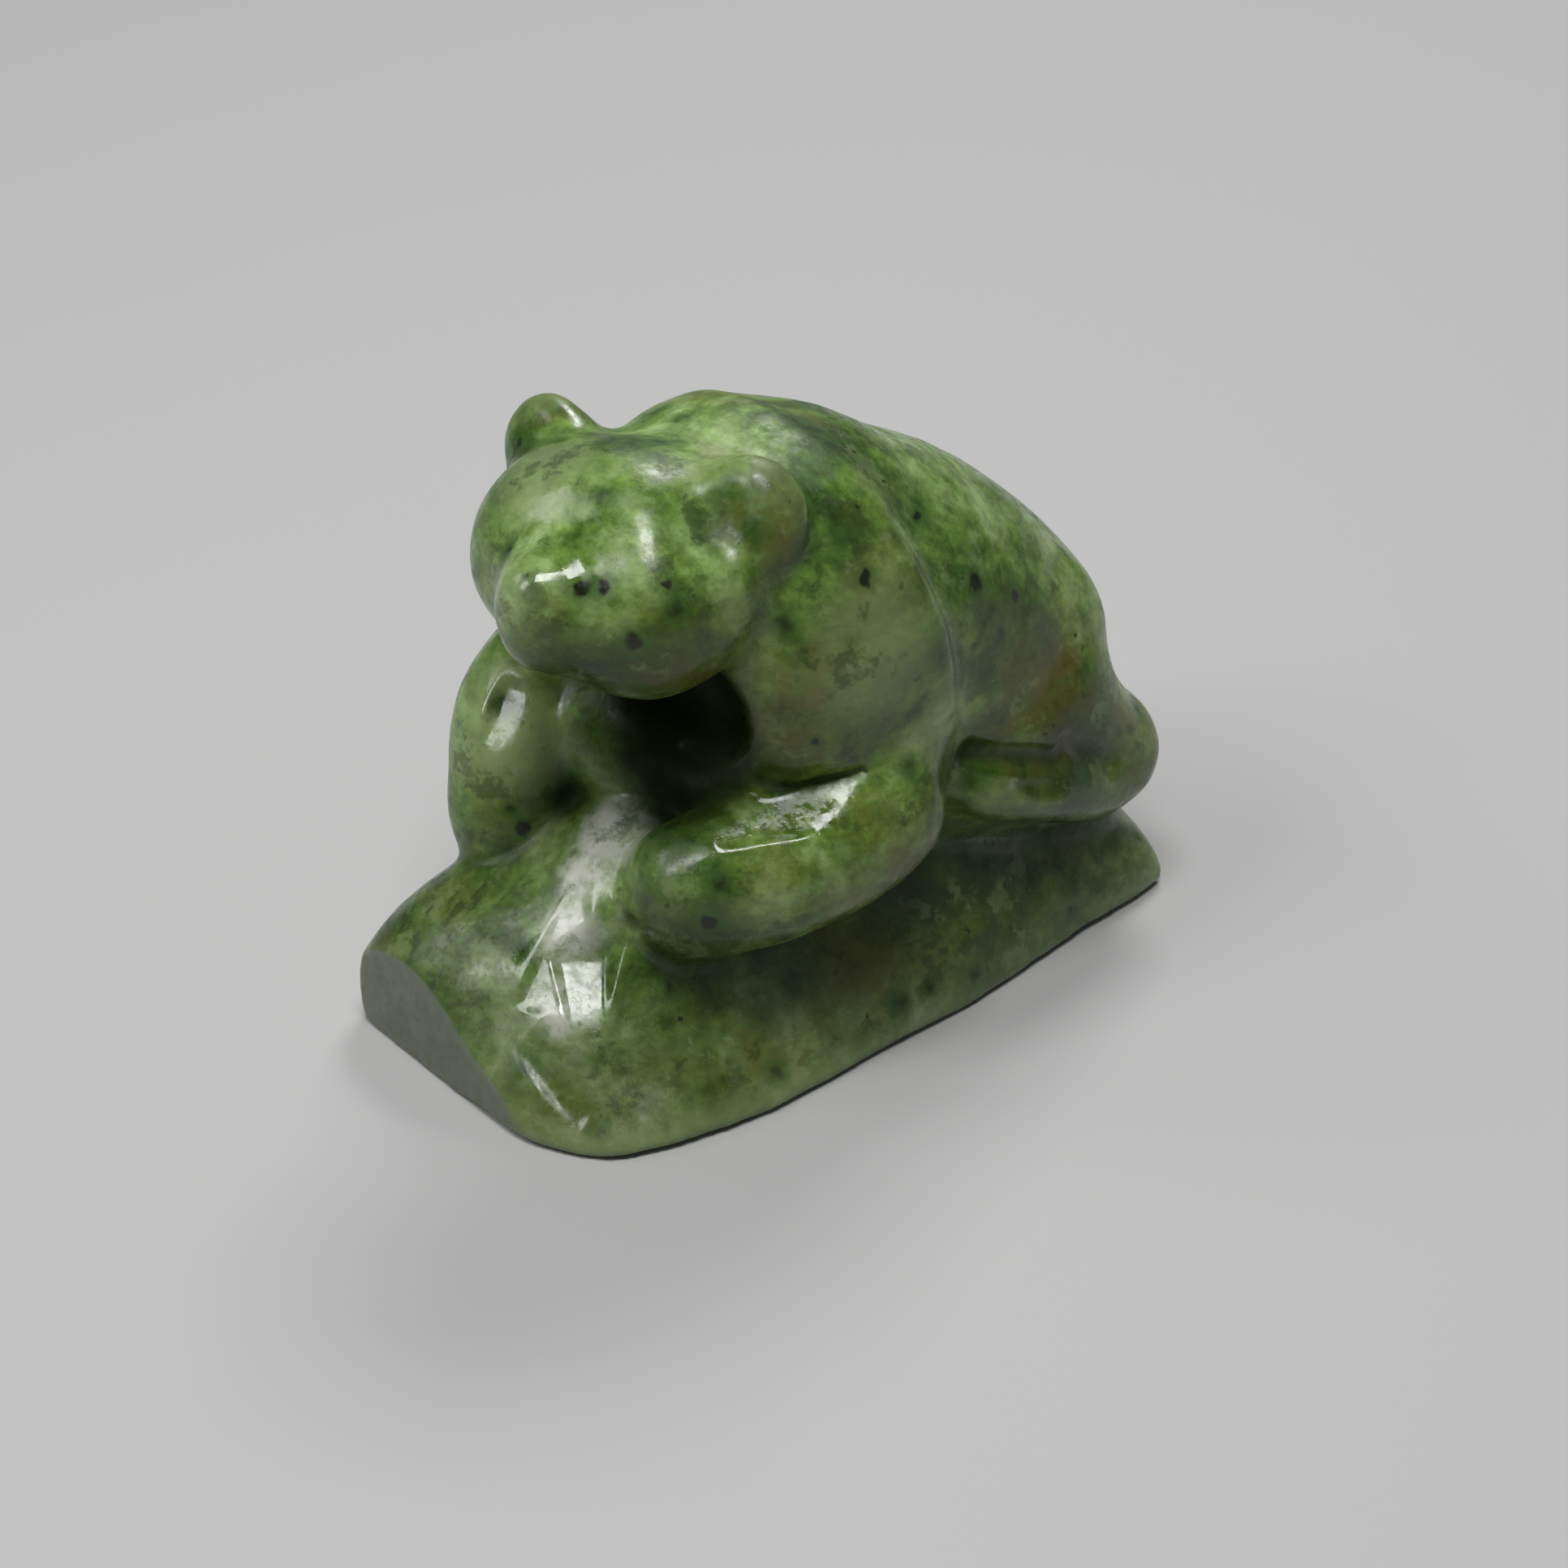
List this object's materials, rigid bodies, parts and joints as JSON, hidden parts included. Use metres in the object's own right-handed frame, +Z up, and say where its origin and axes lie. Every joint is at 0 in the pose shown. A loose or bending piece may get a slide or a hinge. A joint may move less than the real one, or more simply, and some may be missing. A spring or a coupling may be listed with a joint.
{
  "type": "jade bear figurine",
  "caption": "Polished green jade carving of a bear crouching over a rock, for a shelf or desk, standing on a flat underside.",
  "frame": {"origin": "middle of the rock's flat underside", "axes": "+Z up, the bear faces -Y, and its left side is +X"},
  "size_m": [0.0351, 0.057, 0.0446],
  "materials": {
    "jade": "hand-polished green nephrite, glossy, with dark specks"
  },
  "bodies": {
    "root": {"rock_base": "jade", "back": "jade", "shoulders": "jade", "forearm_left": "jade", "forearm_right": "jade", "haunch_left": "jade", "haunch_right": "jade", "hind_foot_left": "jade", "hind_foot_right": "jade", "head": "jade", "muzzle": "jade", "ear_left": "jade", "ear_right": "jade"}
  },
  "joints": []
}
